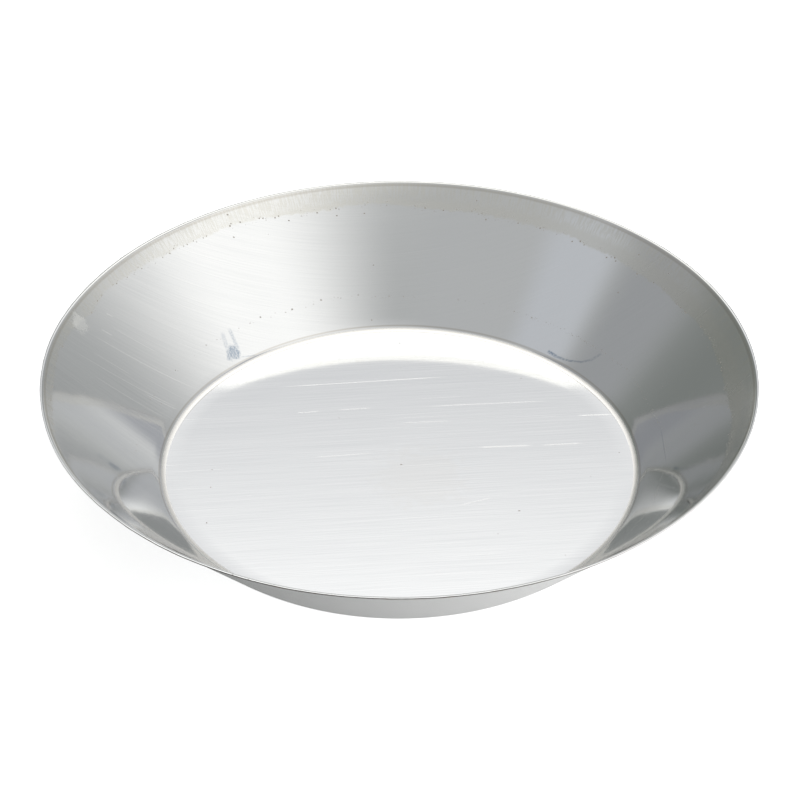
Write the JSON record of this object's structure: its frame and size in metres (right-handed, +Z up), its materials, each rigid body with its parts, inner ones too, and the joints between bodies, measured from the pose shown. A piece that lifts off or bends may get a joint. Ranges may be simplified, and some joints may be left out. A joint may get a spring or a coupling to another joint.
{
  "type": "oil drain pan",
  "caption": "Round, shallow pressed-steel pan with a flat floor, a straight wall sloping out at about 45 degrees and a narrow turned-out lip, for catching drained oil.",
  "frame": {"origin": "centre of the underside of the floor, which is the plane the pan stands on", "axes": "+Z up out of the mouth along the axis of the pan; the pan is round, so +X and +Y are alike"},
  "size_m": [0.4, 0.4, 0.068],
  "materials": {
    "tinned_steel": "bright tin coat over rolled steel, with rolling grain, light scuffs and a dull tarnished band under the rim"
  },
  "bodies": {
    "root": {"drain_pan": "tinned_steel"}
  },
  "joints": []
}
